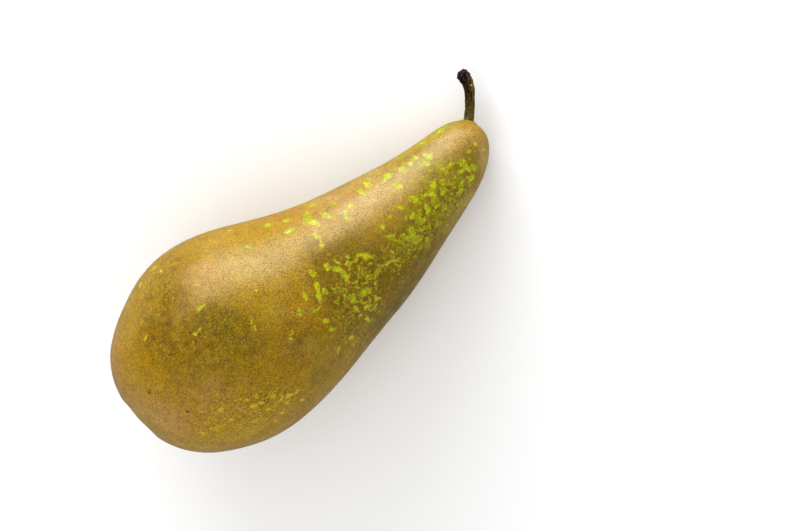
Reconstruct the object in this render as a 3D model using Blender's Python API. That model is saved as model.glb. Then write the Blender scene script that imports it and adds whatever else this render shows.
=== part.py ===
"""A single ripe pear, lying on its side: the fruit, its woody stem and the dried calyx in its eye.

The pear is modelled along its own length, +X from the eye to the neck, and then laid on the surface z = 0,
where it rests on a small flat spot under the belly and on the underside of the neck.
"""

import math

import bmesh
import bpy
from mathutils import Matrix, Vector

MM = 0.001

# Fruit: outline of the skin, in mm, from the floor of the eye over the rim, belly and neck to the tip.
# Each pair is the distance along the fruit and the radius there.
SKIN_OUTLINE_MM = [
    (7.0, 0.0),
    (6.8, 1.9),
    (5.2, 3.1),
    (3.2, 3.8),
    (1.6, 4.6),
    (0.2, 5.9),
    (-0.5, 7.4),
    (-0.2, 8.9),
    (0.5, 11.2),
    (2.1, 14.7),
    (5.7, 19.5),
    (11.0, 23.5),
    (17.5, 27.0),
    (25.5, 29.9),
    (34.5, 31.0),
    (43.5, 30.1),
    (52.0, 28.0),
    (61.0, 24.8),
    (70.0, 21.9),
    (80.0, 19.3),
    (90.0, 16.6),
    (100.0, 13.8),
    (109.0, 11.7),
    (116.0, 10.2),
    (121.0, 8.5),
    (124.6, 6.2),
    (126.8, 3.5),
    (127.5, 0.0),
]
# The middle of the fruit drifts sideways along its length: distance along and sideways, in mm.
CENTRE_DRIFT_MM = [
    (-0.5, 3.2),
    (6.0, 3.1),
    (17.0, 2.6),
    (35.0, 2.3),
    (45.0, 1.3),
    (55.0, -0.4),
    (65.0, -2.4),
    (75.0, -4.0),
    (86.0, -4.8),
    (103.0, -4.9),
    (115.0, -4.2),
    (127.5, -2.5),
]
RINGS_PER_STEP = 2
FRUIT_SIDES = 72
FLATTENING = 0.012
SIDE_SWELL = 0.010
SIDE_SWELL_TURN = 0.9
RIB_COUNT = 5
RIB_HEIGHT = 0.25 * MM
RIB_RADIUS = 5.8 * MM
RIB_WIDTH = 1.9 * MM
RIB_FADE = 9.0 * MM
RIB_SWELL = 0.012
NECK_FROM = 85 * MM

# The flat spots that the pear rests on: how deep the surface cuts them into the belly and the neck.
BELLY_FLAT = 0.5 * MM
NECK_FLAT = 0.2 * MM
SURFACE_BLOCK = 0.3

# Stem: its middle line above the skin and its radius there, in mm, from the neck to the broken end.
STEM_LINE_MM = [
    (126.3, 1.4, -0.6, 1.40),
    (128.8, 3.7, -0.3, 1.30),
    (130.6, 5.6, 0.0, 1.34),
    (132.1, 7.3, 0.3, 1.46),
    (133.1, 9.1, 0.7, 1.62),
    (133.7, 10.9, 1.1, 1.84),
    (133.9, 12.2, 1.4, 1.90),
]
STEM_ROOT = 4.5 * MM
STEM_ROOT_RADIUS = 1.3 * MM
STEM_SIDES = 16
STEM_RINGS = 32
KNOB_FROM = 0.6
BREAK_RINGS_MM = [(0.40, 0.88), (0.60, 0.62), (0.35, 0.30)]
SOCKET_GAP = 0.25 * MM
SOCKET_ROOM = 1.04
DIMPLE_DEPTH = 0.7 * MM
DIMPLE_RADIUS = 3.0 * MM

# Calyx: a dry cup in the eye, with five curled sepals and a tuft of stamens. The cup's outline runs from
# its foot, over its edge and into its hollow, as distance along the fruit and radius, in mm.
CUP_OUTLINE_MM = [(6.7, 1.5), (5.5, 2.3), (3.4, 3.05), (3.3, 2.25), (4.5, 1.45)]
CUP_SIDES = 20
SEPAL_COUNT = 5
SEPAL_ROOT_ALONG = 4.3 * MM
SEPAL_ROOT_RADIUS = 2.5 * MM
SEPAL_LENGTH = 3.5 * MM
SEPAL_WIDTH = 2.7 * MM
SEPAL_TIP_WIDTH = 0.5 * MM
SEPAL_THICKNESS = 0.62 * MM
SEPAL_TROUGH = 0.18
SEPAL_START = math.radians(2)
SEPAL_CURL = math.radians(56)
SEPAL_CURL_VARIES = math.radians(17)
SEPAL_STEPS = 7
STAMEN_COUNT = 9
STAMEN_ROOT_ALONG = 4.8 * MM
STAMEN_ROOT_RADII = (0.8 * MM, 1.25 * MM)
STAMEN_RADIUS = 0.22 * MM
STAMEN_LENGTH = 2.3 * MM
STAMEN_BEND = 0.5 * MM
STAMEN_SPREAD = 0.35
STAMEN_STEPS = 3
STAMEN_SIDES = 5

SKIN_COLOUR = (0.34, 0.20, 0.02, 1.0)
STEM_COLOUR = (0.07, 0.04, 0.015, 1.0)
CALYX_COLOUR = (0.03, 0.018, 0.01, 1.0)


def clear_scene():
    for item in list(bpy.data.objects):
        bpy.data.objects.remove(item)


def make_material(name, colour, roughness):
    material = bpy.data.materials.new(name)
    material.use_nodes = True
    shader = material.node_tree.nodes["Principled BSDF"]
    shader.inputs["Base Color"].default_value = colour
    shader.inputs["Roughness"].default_value = roughness
    shader.inputs["Metallic"].default_value = 0.0
    return material


def add_object(name, bm, material, parent):
    mesh = bpy.data.meshes.new(name)
    bmesh.ops.recalc_face_normals(bm, faces=bm.faces)
    bm.to_mesh(mesh)
    bm.free()
    item = bpy.data.objects.new(name, mesh)
    bpy.context.scene.collection.objects.link(item)
    item.parent = parent
    if material:
        mesh.materials.append(material)
        mesh.shade_smooth()
    return item


def make_helper(item):
    """A cutter or guide, which is never seen."""
    item.hide_render = True
    item.display_type = "WIRE"
    return item


def spline_point(points, position):
    """The point on a smooth curve through the points, position counting them from 0."""
    last = len(points) - 1
    start = min(int(position), last - 1)
    share = position - start
    a = points[start]
    b = points[start + 1]
    before = points[start - 1] if start > 0 else 2 * a - b
    after = points[start + 2] if start + 2 <= last else 2 * b - a
    leave = (b - before) * 0.5
    arrive = (after - a) * 0.5
    square = share * share
    cube = square * share
    return (
        a * (2 * cube - 3 * square + 1)
        + leave * (cube - 2 * square + share)
        + b * (3 * square - 2 * cube)
        + arrive * (cube - square)
    )


def skin_outline():
    """Points along the skin from the eye to the tip, as (along, radius), in metres."""
    points = [Vector((along, radius, 0)) * MM for along, radius in SKIN_OUTLINE_MM]
    tip = points[-1]
    inner = points[-2]
    mirrored = Vector((inner.x, -inner.y, 0))
    with_ghost = points + [mirrored]
    outline = []
    for step in range((len(points) - 1) * RINGS_PER_STEP):
        outline.append(spline_point(with_ghost, step / RINGS_PER_STEP))
    outline.append(tip)
    outline[0].y = 0
    return outline


def centre_drift(along):
    """How far sideways the middle of the fruit lies at a distance along it."""
    table = [(x * MM, y * MM) for x, y in CENTRE_DRIFT_MM]
    along = min(max(along, table[0][0]), table[-1][0])
    for index in range(len(table) - 1):
        if along <= table[index + 1][0]:
            break
    share = (along - table[index][0]) / (table[index + 1][0] - table[index][0])
    points = [Vector((x, y, 0)) for x, y in table]
    return spline_point(points, index + share).y


def stem_line():
    """The stem's middle line, each point with its radius as a fourth number, in metres."""
    return [Vector(point) * MM for point in STEM_LINE_MM]


def stem_foot():
    return stem_line()[0].xyz


def stem_direction():
    """The way the stem leaves the neck."""
    line = stem_line()
    return (line[1] - line[0]).xyz.normalized()


def rib_share(along, radius):
    """1 on the blunt ribs round the eye, falling to 0 away from them."""
    across_rib = math.exp(-(((radius - RIB_RADIUS) / RIB_WIDTH) ** 2))
    return across_rib * math.exp(-((along / RIB_FADE) ** 2))


def stem_dimple(point):
    """How far the skin sinks round the stem's foot."""
    away = point - stem_foot()
    off_axis = (away - stem_direction() * away.dot(stem_direction())).length
    return DIMPLE_DEPTH * math.exp(-((off_axis / DIMPLE_RADIUS) ** 2))


def shape_skin(point):
    """Moves a point of the turned skin to its place on the real, uneven fruit."""
    along, side, up = point
    angle = math.atan2(side, up)
    rib = rib_share(along, math.hypot(side, up)) * math.cos(RIB_COUNT * angle)
    oval = 1 - FLATTENING * (1 + math.cos(2 * angle))
    uneven = 1 + SIDE_SWELL * math.cos(3 * angle + SIDE_SWELL_TURN) * math.cos(angle) ** 2
    scale = oval * uneven * (1 + RIB_SWELL * rib)
    placed = Vector((along - RIB_HEIGHT * rib, side * scale + centre_drift(along), up * scale))
    if along > NECK_FROM:
        placed -= stem_direction() * stem_dimple(placed)
    return placed


def build_fruit(material, parent):
    """Turns the outline round the fruit's length, then makes it uneven."""
    bm = bmesh.new()
    outline = [bm.verts.new(point) for point in skin_outline()]
    edges = [bm.edges.new(pair) for pair in zip(outline, outline[1:])]
    bmesh.ops.spin(
        bm,
        geom=outline + edges,
        cent=(0, 0, 0),
        axis=(1, 0, 0),
        angle=2 * math.pi,
        steps=FRUIT_SIDES,
        use_merge=True,
    )
    bmesh.ops.remove_doubles(bm, verts=bm.verts, dist=0.001 * MM)
    for vertex in bm.verts:
        vertex.co = shape_skin(vertex.co)
    return add_object("fruit", bm, material, parent)


def loft(bm, rings):
    """Joins closed rings of points, one after another, and caps both ends."""
    loops = [[bm.verts.new(point) for point in ring] for ring in rings]
    for first, second in zip(loops, loops[1:]):
        for index in range(len(first)):
            following = (index + 1) % len(first)
            bm.faces.new((first[index], first[following], second[following], second[index]))
    bm.faces.new(loops[0])
    bm.faces.new(loops[-1])
    return bm


def across(direction):
    """Two directions square to the given one and to each other."""
    side = direction.cross(Vector((0, 0, 1))).normalized()
    return side, side.cross(direction).normalized()


def stem_lumps(share, angle):
    """Faint ridges along the stem, and blunt lumps round its thickened end."""
    knob = max(0.0, (share - KNOB_FROM) / (1 - KNOB_FROM))
    ridges = 0.035 * math.cos(4 * angle + 3 * share)
    lumps = knob * (0.09 * math.cos(3 * angle + 1.1) + 0.06 * math.cos(5 * angle + 9 * share))
    return 1 + ridges + lumps


def stem_ring(share, shrink=1.0, rise=0.0):
    """A ring of points round the stem, or past its end where rise is above 0."""
    line = stem_line()
    last = len(line) - 1
    here = spline_point(line, share * last)
    ahead = spline_point(line, min(share * last + 0.02, last)).xyz
    behind = spline_point(line, max(share * last - 0.02, 0)).xyz
    direction = (ahead - behind).normalized()
    side, up = across(direction)
    ring = []
    for index in range(STEM_SIDES):
        angle = 2 * math.pi * index / STEM_SIDES
        reach = here.w * shrink * stem_lumps(share, angle)
        outward = side * math.cos(angle) + up * math.sin(angle)
        torn = 1 + 0.5 * math.cos(2 * angle + 0.5)
        ring.append(here.xyz + outward * reach + direction * rise * torn)
    return ring


def root_ring(depth):
    """A plain round ring inside the neck's socket."""
    side, up = across(stem_direction())
    ring = []
    for index in range(STEM_SIDES):
        angle = 2 * math.pi * index / STEM_SIDES
        outward = side * math.cos(angle) + up * math.sin(angle)
        ring.append(stem_foot() - stem_direction() * depth + outward * STEM_ROOT_RADIUS)
    return ring


def build_stem(material, parent):
    rings = [root_ring(STEM_ROOT), root_ring(0.5 * STEM_ROOT)]
    rings += [stem_ring(step / STEM_RINGS) for step in range(STEM_RINGS + 1)]
    rings += [stem_ring(1.0, shrink, rise * MM) for rise, shrink in BREAK_RINGS_MM]
    return add_object("stem", loft(bmesh.new(), rings), material, parent)


def turn_about_length(angle):
    """Turns round the middle of the eye, with the eye's own sideways drift kept."""
    middle = Vector((0, centre_drift(0), 0))
    return Matrix.Translation(middle) @ Matrix.Rotation(angle, 4, "X")


def build_cup(material, parent):
    """The dry cup: a short plug that sinks into the eye, hollow on top."""
    rings = []
    for along, radius in CUP_OUTLINE_MM:
        ring = []
        for index in range(CUP_SIDES):
            turn = turn_about_length(2 * math.pi * index / CUP_SIDES)
            ring.append(turn @ Vector((along * MM, 0, radius * MM)))
        rings.append(ring)
    return add_object("calyx", loft(bmesh.new(), rings), material, parent)


def sepal_ring(along, reach, width, heading, trough):
    """Six points round a sepal's blade, which is troughed along its middle."""
    thick = 0.5 * SEPAL_THICKNESS * Vector((math.sin(heading), 0, math.cos(heading)))
    edge = reach - trough
    inner = [
        Vector((along, -0.5 * width, edge)) - thick,
        Vector((along, 0, reach)) - thick,
        Vector((along, 0.5 * width, edge)) - thick,
    ]
    outer = [point + 2 * thick for point in reversed(inner)]
    return inner + outer


def build_sepal(number, collection, parent):
    """One curled sepal: a tapering blade that rises from the cup and bends outwards, each its own way."""
    turn = turn_about_length(2 * math.pi * number / SEPAL_COUNT + 0.35)
    advance = SEPAL_LENGTH * (0.88 + 0.12 * math.cos(2.3 * number)) / SEPAL_STEPS
    curl = (SEPAL_CURL + SEPAL_CURL_VARIES * math.sin(1.7 * number)) / SEPAL_STEPS
    heading = SEPAL_START
    along = SEPAL_ROOT_ALONG
    reach = SEPAL_ROOT_RADIUS
    rings = []
    for step in range(SEPAL_STEPS + 1):
        share = step / SEPAL_STEPS
        width = SEPAL_WIDTH * (1 - share) ** 0.7 + SEPAL_TIP_WIDTH * share
        trough = SEPAL_TROUGH * width * (1 - share)
        rings.append([turn @ point for point in sepal_ring(along, reach, width, heading, trough)])
        along -= advance * math.cos(heading)
        reach += advance * math.sin(heading)
        heading += curl
    item = add_object(f"sepal_{number}", loft(bmesh.new(), rings), None, parent)
    move_to(item, collection)


def build_stamen(number, collection, parent):
    """A thin dry filament inside the sepals, bent a little its own way, with a thicker head."""
    turn = turn_about_length(2 * math.pi * number / STAMEN_COUNT)
    root = STAMEN_ROOT_RADII[number % 2]
    length = STAMEN_LENGTH * (0.8 + 0.2 * math.sin(5.1 * number))
    rings = []
    for step in range(STAMEN_STEPS + 1):
        share = step / STAMEN_STEPS
        radius = STAMEN_RADIUS * (1.15 if step == STAMEN_STEPS else 1 - 0.2 * share)
        bend = STAMEN_BEND * share * share * math.sin(2.9 * number)
        middle = Vector((STAMEN_ROOT_ALONG - length * share, bend, root * (1 + STAMEN_SPREAD * share)))
        ring = []
        for index in range(STAMEN_SIDES):
            angle = 2 * math.pi * index / STAMEN_SIDES
            ring.append(turn @ (middle + radius * Vector((0, math.cos(angle), math.sin(angle)))))
        rings.append(ring)
    item = add_object(f"stamen_{number}", loft(bmesh.new(), rings), None, parent)
    move_to(item, collection)


def move_to(item, collection):
    bpy.context.scene.collection.objects.unlink(item)
    collection.objects.link(item)


def build_calyx(material, parent):
    """The cup with its sepals and stamens, fused into one body."""
    calyx = build_cup(material, parent)
    growths = bpy.data.collections.new("calyx_growths")
    bpy.context.scene.collection.children.link(growths)
    for number in range(SEPAL_COUNT):
        build_sepal(number, growths, parent)
    for number in range(STAMEN_COUNT):
        build_stamen(number, growths, parent)
    union = calyx.modifiers.new("fuse", "BOOLEAN")
    union.operation = "UNION"
    union.operand_type = "COLLECTION"
    union.collection = growths
    union.solver = "MANIFOLD"
    bpy.context.view_layer.update()
    bpy.context.view_layer.objects.active = calyx
    bpy.ops.object.modifier_apply(modifier=union.name)
    for item in list(growths.objects):
        bpy.data.objects.remove(item)
    bpy.data.collections.remove(growths)
    return calyx


def cut_socket(fruit, parent):
    """A plain hole in the neck for the stem's root, a small gap wider than the root."""
    bm = bmesh.new()
    radius = stem_line()[0].w * SOCKET_ROOM + SOCKET_GAP
    bmesh.ops.create_cone(
        bm,
        cap_ends=True,
        segments=24,
        radius1=radius,
        radius2=radius,
        depth=2 * (STEM_ROOT + SOCKET_GAP),
    )
    turn = stem_direction().to_track_quat("Z", "Y").to_matrix().to_4x4()
    bmesh.ops.transform(bm, matrix=Matrix.Translation(stem_foot()) @ turn, verts=bm.verts)
    cutter = make_helper(add_object("stem_socket", bm, None, parent))
    cut = fruit.modifiers.new("stem_socket", "BOOLEAN")
    cut.operation = "DIFFERENCE"
    cut.object = cutter
    cut.solver = "EXACT"


def flatten_underside(fruit):
    """A block below the surface cuts the flat spots that the pear rests on."""
    bm = bmesh.new()
    bmesh.ops.create_cube(bm, size=SURFACE_BLOCK)
    bmesh.ops.translate(bm, vec=(0, 0, -0.5 * SURFACE_BLOCK), verts=bm.verts)
    cutter = make_helper(add_object("surface_below", bm, None, None))
    cut = fruit.modifiers.new("flat_spots", "BOOLEAN")
    cut.operation = "DIFFERENCE"
    cut.object = cutter
    cut.solver = "EXACT"


def turned(points, tilt):
    turn = Matrix.Rotation(tilt, 3, "Y")
    return [turn @ point for point in points]


def rest_tilt(points):
    """The tilt, neck down, at which belly and neck both meet the surface."""
    belly = [point for point in points if point.x < NECK_FROM]
    neck = [point for point in points if point.x >= NECK_FROM]
    low = 0.0
    high = math.radians(30)
    for _ in range(40):
        tilt = 0.5 * (low + high)
        belly_low = min(point.z for point in turned(belly, tilt))
        neck_low = min(point.z for point in turned(neck, tilt))
        if neck_low + NECK_FLAT > belly_low + BELLY_FLAT:
            low = tilt
        else:
            high = tilt
    return tilt


def lay_down(rest, fruit, pieces):
    """Tilts the pear onto the surface, with the middle of its whole box over the origin."""
    tilt = rest_tilt([vertex.co for vertex in fruit.data.vertices])
    points = turned([vertex.co for item in pieces for vertex in item.data.vertices], tilt)
    lowest = [min(point[axis] for point in points) for axis in range(3)]
    highest = [max(point[axis] for point in points) for axis in range(3)]
    rest.rotation_euler = (0, tilt, 0)
    rest.location = (
        -0.5 * (lowest[0] + highest[0]),
        -0.5 * (lowest[1] + highest[1]),
        -lowest[2] - BELLY_FLAT,
    )


def main():
    clear_scene()
    skin = make_material("pear_skin", SKIN_COLOUR, 0.45)
    bark = make_material("stem_bark", STEM_COLOUR, 0.7)
    dry = make_material("dry_calyx", CALYX_COLOUR, 0.85)
    rest = bpy.data.objects.new("pear_rest", None)
    bpy.context.scene.collection.objects.link(rest)
    fruit = build_fruit(skin, rest)
    stem = build_stem(bark, rest)
    calyx = build_calyx(dry, rest)
    lay_down(rest, fruit, [fruit, stem, calyx])
    cut_socket(fruit, rest)
    flatten_underside(fruit)
    bpy.context.view_layer.update()


main()
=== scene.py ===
import math

import bmesh
import bpy
import numpy as np
from mathutils import Matrix, Vector, noise


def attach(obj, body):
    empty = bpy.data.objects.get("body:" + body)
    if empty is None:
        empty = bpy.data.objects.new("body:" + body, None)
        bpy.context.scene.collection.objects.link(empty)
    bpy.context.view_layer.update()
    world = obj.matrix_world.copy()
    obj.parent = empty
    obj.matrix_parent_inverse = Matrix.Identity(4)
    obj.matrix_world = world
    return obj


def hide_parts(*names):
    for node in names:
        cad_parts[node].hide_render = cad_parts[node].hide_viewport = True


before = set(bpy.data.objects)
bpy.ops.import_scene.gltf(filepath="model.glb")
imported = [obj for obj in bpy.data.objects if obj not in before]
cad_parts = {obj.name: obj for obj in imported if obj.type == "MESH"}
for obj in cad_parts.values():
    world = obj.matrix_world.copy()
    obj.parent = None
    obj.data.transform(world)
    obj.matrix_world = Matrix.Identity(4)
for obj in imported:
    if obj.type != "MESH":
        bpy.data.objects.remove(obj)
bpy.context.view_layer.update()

mm = 0.001
print("frame loaded:", ", ".join(sorted(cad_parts)))

# How the pear lies. Its own X runs from the eye to the neck, and its own Z points at the camera.
pearLie = {
    "eye": (-0.064554, -0.002274, 0.039117),  # metres, in the frame
    "tilt": 14.863,  # degrees, neck down
}
ownToFrame = Matrix.Translation(pearLie["eye"]) @ Matrix.Rotation(math.radians(pearLie["tilt"]), 4, "Y")
frameToOwn = ownToFrame.inverted()

# The camera looks down on the pear, which runs up to the right in the picture.
photo = {
    "width": 800,
    "height": 531,
    "mmPerPixel": 0.28575,  # at the pear
    "turn": 43.0,  # degrees, from the picture's lower edge to the pear's length
    "aim": (83.5, -15.6, 0.0),  # mm, in the pear's own frame
    "distance": 1.2,  # metres
    "sensor": 36.0,
}
pixel = photo["mmPerPixel"] * mm
pictureTurn = math.radians(photo["turn"])
ownTurn = ownToFrame.to_3x3()
pictureRight = ownTurn @ Vector((math.cos(pictureTurn), -math.sin(pictureTurn), 0))
pictureUp = ownTurn @ Vector((math.sin(pictureTurn), math.cos(pictureTurn), 0))
toCamera = ownTurn @ Vector((0, 0, 1))
pictureAim = ownToFrame @ (Vector(photo["aim"]) * mm)
cameraPlace = pictureAim + toCamera * photo["distance"]


# Small helpers for working as in the window

def deselectAll():
    if bpy.context.object and bpy.context.object.mode != "OBJECT":
        bpy.ops.object.mode_set(mode="OBJECT")
    bpy.ops.object.select_all(action="DESELECT")


def selectOnly(*pieces):
    deselectAll()
    for piece in pieces:
        piece.select_set(True)
    bpy.context.view_layer.objects.active = pieces[0]


def editPiece(piece):
    selectOnly(piece)
    bpy.ops.object.mode_set(mode="EDIT")


def pickVertices(piece, wanted):  # in edit mode
    mesh = bmesh.from_edit_mesh(piece.data)
    mesh.select_mode = {"VERT"}
    for vertex in mesh.verts:
        vertex.select = wanted(vertex.co)
    mesh.select_flush_mode()
    bmesh.update_edit_mesh(piece.data)


def namePiece(name):
    piece = bpy.context.object
    piece.name = piece.data.name = name
    return piece


def applyPlace(piece):
    selectOnly(piece)
    bpy.ops.object.transform_apply(location=True, rotation=True, scale=True)


def openPiece(name):  # names what was just added and opens it in edit mode, all selected
    piece = namePiece(name)
    applyPlace(piece)
    editPiece(piece)
    bpy.ops.mesh.select_all(action="SELECT")
    return piece


def openRing(name, sides, radius, place=(0, 0, 0), fill="NOTHING"):  # a ring across the X axis
    deselectAll()
    bpy.ops.mesh.primitive_circle_add(
        vertices=sides, radius=radius * mm, fill_type=fill, location=place, rotation=(0, math.pi / 2, 0),
    )
    return openPiece(name)


def closePiece():
    bpy.ops.mesh.select_all(action="SELECT")
    bpy.ops.mesh.normals_make_consistent(inside=False)
    deselectAll()


def useModifier(piece, kind, **settings):
    selectOnly(piece)
    modifier = piece.modifiers.new(kind.lower(), kind)
    for name, value in settings.items():
        setattr(modifier, name, value)
    bpy.ops.object.modifier_apply(modifier=modifier.name)


def subdivide(piece, levels):
    useModifier(piece, "SUBSURF", levels=levels, render_levels=levels)


def lumps(piece, name, size, height, middle=0.5):
    texture = bpy.data.textures.new(name, "CLOUDS")
    texture.noise_scale = size * mm
    texture.noise_depth = 2
    useModifier(
        piece, "DISPLACE", texture=texture, texture_coords="LOCAL", strength=height * mm, mid_level=middle,
    )


def liftSurface(piece, liftAt):  # along its normals, by the mm that liftAt gives for a place
    moves = [vertex.normal * liftAt(frameToOwn @ vertex.co) * mm for vertex in piece.data.vertices]
    for vertex, move in zip(piece.data.vertices, moves):
        vertex.co += move


def weightBy(piece, name, share):
    group = piece.vertex_groups.new(name=name)
    for vertex in piece.data.vertices:
        group.add([vertex.index], share(vertex.co), "REPLACE")
    return name


def ramp(value, low, high):  # 0 at low, 1 at high, eased between them
    share = np.clip((value - low) / (high - low), 0, 1)
    return share * share * (3 - 2 * share)


def bell(distance, width):
    return np.exp(-((distance / width) ** 2))


def places(piece):  # where the vertices are, one row each, in metres
    flat = np.empty(len(piece.data.vertices) * 3)
    piece.data.vertices.foreach_get("co", flat)
    return flat.reshape(-1, 3)


def addField(piece, name, values):
    attribute = piece.data.attributes.new(name, "FLOAT", "POINT")
    attribute.data.foreach_set("value", values)


def finishPiece(piece, node):
    selectOnly(piece)
    bpy.ops.object.shade_smooth()
    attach(piece, "root")
    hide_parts(node)
    print(piece.name, "has", len(piece.data.polygons), "faces")


# Wiring nodes

def plug(tree, value, socket):
    if isinstance(value, bpy.types.NodeSocket):
        tree.links.new(value, socket)
    else:
        socket.default_value = value


def plugAll(tree, node, inputs):
    for name, value in inputs.items():
        plug(tree, value, node.inputs[name])


def addNode(tree, kind, inputs=None, **settings):
    made = tree.nodes.new("ShaderNode" + kind)
    for name, value in settings.items():
        setattr(made, name, value)
    plugAll(tree, made, inputs or {})
    return made


def maths(tree, operation, *values, clamp=False):
    made = addNode(tree, "Math", dict(enumerate(values)), operation=operation, use_clamp=clamp)
    return made.outputs["Value"]


def times(tree, first, second, clamp=False):
    return maths(tree, "MULTIPLY", first, second, clamp=clamp)


def timesPlus(tree, value, factor, added, clamp=False):
    return maths(tree, "MULTIPLY_ADD", value, factor, added, clamp=clamp)


def mixColours(tree, share, first, second, blend="MIX"):
    colourInputs = {0: share, 6: first, 7: second}  # the mix node's sockets for colours
    made = addNode(tree, "Mix", colourInputs, data_type="RGBA", blend_type=blend)
    return made.outputs[2]


def cover(tree, colour, share, paint):
    return mixColours(tree, share, colour, tint(paint))


def toned(tree, colour, tone):
    return mixColours(tree, 1.0, colour, tone["Tone"], "MULTIPLY")


def stretch(tree, value, low, high, newLow=0.0, newHigh=1.0):  # eased between low and high
    inputs = {"Value": value, "From Min": low, "From Max": high, "To Min": newLow, "To Max": newHigh}
    return addNode(tree, "MapRange", inputs, interpolation_type="SMOOTHSTEP").outputs["Result"]


def cloud(tree, vector, size, detail=2.0, roughness=0.5):
    inputs = {"Vector": vector, "Scale": 1 / (size * mm), "Detail": detail, "Roughness": roughness}
    return addNode(tree, "TexNoise", inputs).outputs["Fac"]


def shift(tree, vector, amount):
    return addNode(tree, "Mapping", {"Vector": vector, "Location": (amount, amount, 0)}).outputs["Vector"]


# Metres aside, mm across, detail, roughness, noise where it starts and is full, least and most
def uneven(tree, vector, kind):
    aside, size, detail, roughness, *span = kind
    place = shift(tree, vector, aside) if aside else vector
    return stretch(tree, cloud(tree, place, size, detail, roughness), *span)


def field(tree, name):
    return addNode(tree, "Attribute", attribute_name=name).outputs["Fac"]


def ownPlace(tree):  # object coordinates turned into the pear's own frame
    coordinates = addNode(tree, "TexCoord").outputs["Object"]
    turn = (0, math.radians(pearLie["tilt"]), 0)
    inputs = {"Vector": coordinates, "Location": pearLie["eye"], "Rotation": turn}
    return addNode(tree, "Mapping", inputs, vector_type="TEXTURE").outputs["Vector"]


def newMaterial(name):
    material = bpy.data.materials.new(name)
    material.use_nodes = True
    tree = material.node_tree
    return material, tree, tree.nodes["Principled BSDF"]


def tint(colour):
    return (*colour, 1.0)


def coat(tree, shader, look, colour, rough, height):
    strength, depth = look["bump"]
    bump = addNode(tree, "Bump", {"Height": height, "Strength": strength, "Distance": depth * mm})
    plugAll(tree, shader, {
        "Base Color": colour, "Roughness": rough, "Specular IOR Level": look["specular"],
        "Normal": bump.outputs["Normal"],
    })


def newGroup(name, inputs, outputs):
    group = bpy.data.node_groups.new(name, "ShaderNodeTree")
    group.interface.new_socket("Vector", in_out="INPUT", socket_type="NodeSocketVector")
    for label, value in inputs.items():
        socket = group.interface.new_socket(label, in_out="INPUT", socket_type="NodeSocketFloat")
        socket.default_value = value
    for label in outputs:
        group.interface.new_socket(label, in_out="OUTPUT", socket_type="NodeSocketFloat")
    return group, group.nodes.new("NodeGroupInput").outputs, group.nodes.new("NodeGroupOutput").inputs


def useGroup(tree, group, vector, **inputs):
    made = tree.nodes.new("ShaderNodeGroup")
    made.node_tree = group
    plugAll(tree, made, {"Vector": vector, **inputs})
    return made.outputs


# Round dots at random, such as pores. Size is the largest dot's share of the spacing. Mask is 1 in a dot.
def makeDotsGroup():
    group, given, made = newGroup("dots", {"Spacing": 0.001, "Size": 0.3, "Soft": 0.5}, ["Mask"])
    scale = maths(group, "DIVIDE", 1.0, given["Spacing"])
    cells = addNode(group, "TexVoronoi", {"Vector": given["Vector"], "Scale": scale})
    luck = addNode(group, "SeparateColor", {"Color": cells.outputs["Color"]}).outputs["Red"]
    radius = times(group, given["Size"], timesPlus(group, luck, 0.7, 0.3))
    inner = times(group, radius, maths(group, "SUBTRACT", 1.0, given["Soft"]))
    plug(group, stretch(group, cells.outputs["Distance"], inner, radius, 1.0, 0.0), made["Mask"])
    return group


# Uneven tone at two sizes. Tone is about 1, to multiply a colour with, and Height is for a bump.
def makeMottleGroup():
    group, given, made = newGroup(
        "mottle", {"Grain Size": 0.0005, "Grain": 0.5, "Blotch Size": 0.004, "Blotch": 0.3},
        ["Tone", "Height"],
    )
    tone = 1.0
    for label, detail in (("Grain", 2.0), ("Blotch", 3.0)):
        scale = maths(group, "DIVIDE", 1.0, given[label + " Size"])
        inputs = {"Vector": given["Vector"], "Scale": scale, "Detail": detail}
        patchy = addNode(group, "TexNoise", inputs).outputs["Fac"]
        if label == "Grain":
            plug(group, patchy, made["Height"])
        tone = timesPlus(group, maths(group, "SUBTRACT", patchy, 0.5), given[label], tone)
    plug(group, tone, made["Tone"])
    return group


# A patch with a torn edge. Share is a soft field, and noise bends the line where it passes 0.5.
def makeTornGroup():
    group, given, made = newGroup(
        "torn", {"Share": 0.0, "Size": 0.0015, "Tear": 1.2, "Soft": 0.04}, ["Mask", "Border"],
    )
    inputs = {
        "Vector": given["Vector"], "Scale": maths(group, "DIVIDE", 1.0, given["Size"]),
        "Detail": 5.0, "Roughness": 0.66, "Distortion": 0.9,
    }
    rags = addNode(group, "TexNoise", inputs).outputs["Fac"]
    level = timesPlus(group, maths(group, "SUBTRACT", rags, 0.5), given["Tear"], given["Share"])
    inner = maths(group, "SUBTRACT", 0.5, given["Soft"])
    outer = maths(group, "ADD", 0.5, given["Soft"])
    plug(group, stretch(group, level, inner, outer), made["Mask"])
    plug(group, stretch(group, level, maths(group, "SUBTRACT", inner, 0.09), inner), made["Border"])
    return group


dotsGroup = makeDotsGroup()
mottleGroup = makeMottleGroup()
tornGroup = makeTornGroup()
print("node groups made")


def dots(tree, vector, kind):  # mm apart, size, softness
    apart, size, soft = kind
    return useGroup(tree, dotsGroup, vector, Spacing=apart * mm, Size=size, Soft=soft)["Mask"]


def mottle(tree, vector, grain, blotch):  # each one's size in mm and strength
    return useGroup(tree, mottleGroup, vector, **{
        "Grain Size": grain[0] * mm, "Grain": grain[1], "Blotch Size": blotch[0] * mm, "Blotch": blotch[1],
    })


def tear(tree, vector, share, edge):  # size in mm, how torn, how soft
    size, torn, soft = edge
    return useGroup(tree, tornGroup, vector, Share=share, Size=size * mm, Tear=torn, Soft=soft)


# Stem

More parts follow.
